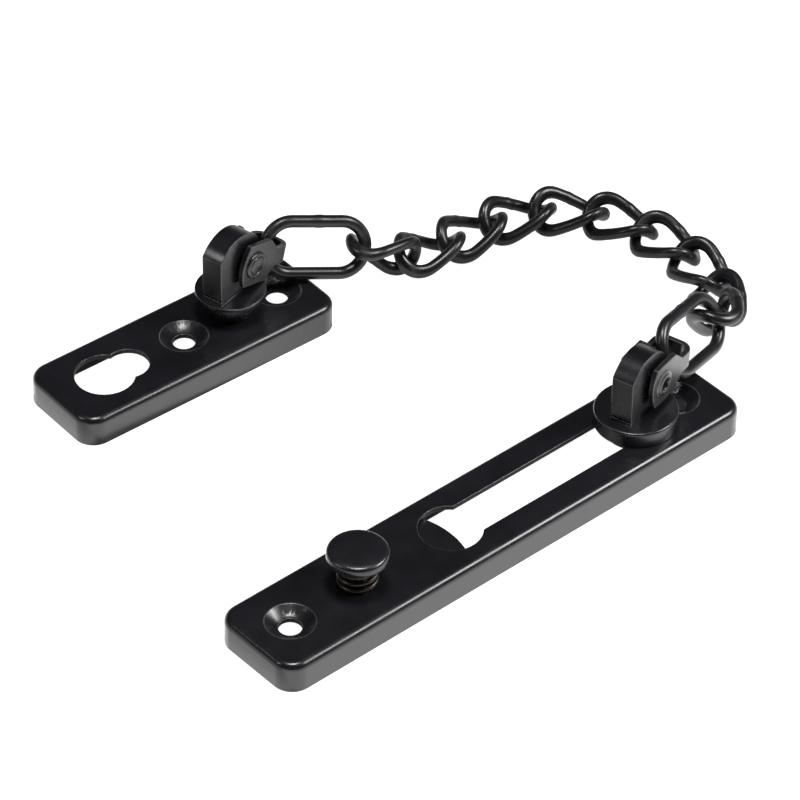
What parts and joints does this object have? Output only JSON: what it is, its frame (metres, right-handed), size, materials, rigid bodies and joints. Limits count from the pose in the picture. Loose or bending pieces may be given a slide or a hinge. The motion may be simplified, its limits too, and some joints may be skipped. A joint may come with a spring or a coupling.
{
  "type": "door chain guard",
  "caption": "Door chain guard: slotted track plate with a sprung release button, sliding swivel post, chain of twisted links and a keyhole anchor plate.",
  "frame": {"origin": "middle of the track plate's back face, on the door", "axes": "+X along the track away from the release button, +Z out of the door, +Y towards the anchor plate as laid out"},
  "size_m": [0.1729, 0.1159, 0.0296],
  "materials": {
    "black_steel": "satin black powder coat over pressed and turned steel",
    "link_wire": "satin-gloss black lacquer over bent and welded wire",
    "bracket_steel": "smooth satin black lacquer over folded strip",
    "rivet_steel": "black lacquer over a pressed rivet",
    "inner_steel": "plain black finish on the hidden pieces",
    "spring_steel": "dark oiled spring steel"
  },
  "bodies": {
    "track": {"track_plate": "black_steel", "button_spring": "spring_steel"},
    "slider": {"slider_guide": "inner_steel"},
    "track_post": {"slider_post": "black_steel"},
    "track_bracket": {"track_bracket": "bracket_steel", "track_rivet": "rivet_steel"},
    "track_end_link": {"track_end_link": "link_wire"},
    "link_10": {"twist_link_10": "link_wire"},
    "link_09": {"twist_link_09": "link_wire"},
    "link_08": {"twist_link_08": "link_wire"},
    "link_07": {"twist_link_07": "link_wire"},
    "link_06": {"twist_link_06": "link_wire"},
    "link_05": {"twist_link_05": "link_wire"},
    "link_04": {"twist_link_04": "link_wire"},
    "link_03": {"twist_link_03": "link_wire"},
    "link_02": {"twist_link_02": "link_wire"},
    "link_01": {"twist_link_01": "link_wire"},
    "anchor_end_link": {"anchor_end_link": "link_wire"},
    "anchor_bracket": {"anchor_bracket": "bracket_steel", "anchor_rivet": "rivet_steel"},
    "anchor_post": {"anchor_post": "black_steel", "anchor_washer": "inner_steel"},
    "anchor_plate": {"anchor_plate": "black_steel"},
    "button": {"release_button": "black_steel", "locking_plate": "inner_steel", "button_retainer": "inner_steel"}
  },
  "joints": [
    {"name": "slider_travel", "type": "slide", "parent": "track", "child": "slider", "axis": [1, 0, 0], "range_m": [-0.0485, 0]},
    {"name": "track_swivel", "type": "hinge", "parent": "slider", "child": "track_post", "pos_m": [0.045, 0, 0], "axis": [0, 0, 1], "range_deg": [-150, 15]},
    {"name": "track_bracket_hinge", "type": "hinge", "parent": "track_post", "child": "track_bracket", "pos_m": [0.04827, 0.00094, 0.0181], "axis": [-0.2756, 0.9613, 0], "range_deg": [-40, 0]},
    {"name": "track_link_swing", "type": "hinge", "parent": "track_bracket", "child": "track_end_link", "pos_m": [0.05672, 0.00336, 0.01764], "axis": [0.0503, 0.0144, 0.9986], "range_deg": [-30, 10]},
    {"name": "chain_hinge_01", "type": "hinge", "parent": "track_end_link", "child": "link_10", "pos_m": [0.0785, 0.01, 0.0136], "axis": [0, 0, -1], "range_deg": [0, 10]},
    {"name": "chain_hinge_02", "type": "hinge", "parent": "link_10", "child": "link_09", "pos_m": [0.0881, 0.0165, 0.0063], "axis": [0, 0, 1], "range_deg": [-20, 5]},
    {"name": "chain_hinge_03", "type": "hinge", "parent": "link_09", "child": "link_08", "pos_m": [0.0956, 0.0267, 0.004], "axis": [0, 0, -1], "range_deg": [-15, 30]},
    {"name": "chain_hinge_04", "type": "hinge", "parent": "link_08", "child": "link_07", "pos_m": [0.0985, 0.039, 0.004], "axis": [0, 0, 1], "range_deg": [-30, 15]},
    {"name": "chain_hinge_05", "type": "hinge", "parent": "link_07", "child": "link_06", "pos_m": [0.0975, 0.052, 0.004], "axis": [0, 0, -1], "range_deg": [-15, 30]},
    {"name": "chain_hinge_06", "type": "hinge", "parent": "link_06", "child": "link_05", "pos_m": [0.093, 0.0645, 0.004], "axis": [0, 0, 1], "range_deg": [-30, 10]},
    {"name": "chain_hinge_07", "type": "hinge", "parent": "link_05", "child": "link_04", "pos_m": [0.084, 0.0735, 0.004], "axis": [0, 0, -1], "range_deg": [-15, 30]},
    {"name": "chain_hinge_08", "type": "hinge", "parent": "link_04", "child": "link_03", "pos_m": [0.072, 0.078, 0.004], "axis": [0, 0, 1], "range_deg": [-30, 15]},
    {"name": "chain_hinge_09", "type": "hinge", "parent": "link_03", "child": "link_02", "pos_m": [0.059, 0.0785, 0.0043], "axis": [0, 0, -1], "range_deg": [-20, 25]},
    {"name": "chain_hinge_10", "type": "hinge", "parent": "link_02", "child": "link_01", "pos_m": [0.0461, 0.0793, 0.0061], "axis": [0, 0, 1], "range_deg": [0, 25]},
    {"name": "chain_hinge_11", "type": "hinge", "parent": "link_01", "child": "anchor_end_link", "pos_m": [0.0347, 0.0837, 0.0122], "axis": [0, 0, -1], "range_deg": [-10, 15]},
    {"name": "anchor_link_swing", "type": "hinge", "parent": "anchor_end_link", "child": "anchor_bracket", "pos_m": [0.01382, 0.09287, 0.01728], "axis": [0.3172, 0.0732, 0.9455], "range_deg": [-20, 30]},
    {"name": "anchor_bracket_hinge", "type": "hinge", "parent": "anchor_bracket", "child": "anchor_post", "pos_m": [0.00414, 0.09064, 0.0207], "axis": [-0.225, 0.9744, 0], "range_deg": [0, 30]},
    {"name": "anchor_swivel", "type": "hinge", "parent": "anchor_post", "child": "anchor_plate", "pos_m": [0.00083, 0.08987, 0], "axis": [0, 0, 1], "range_deg": [-90, 90]},
    {"name": "button_press", "type": "slide", "parent": "track", "child": "button", "axis": [0, 0, 1], "range_m": [-0.0025, 0], "stiffness_N_per_m": 400, "springref_m": 0.001, "deforming": ["button_spring"]}
  ]
}
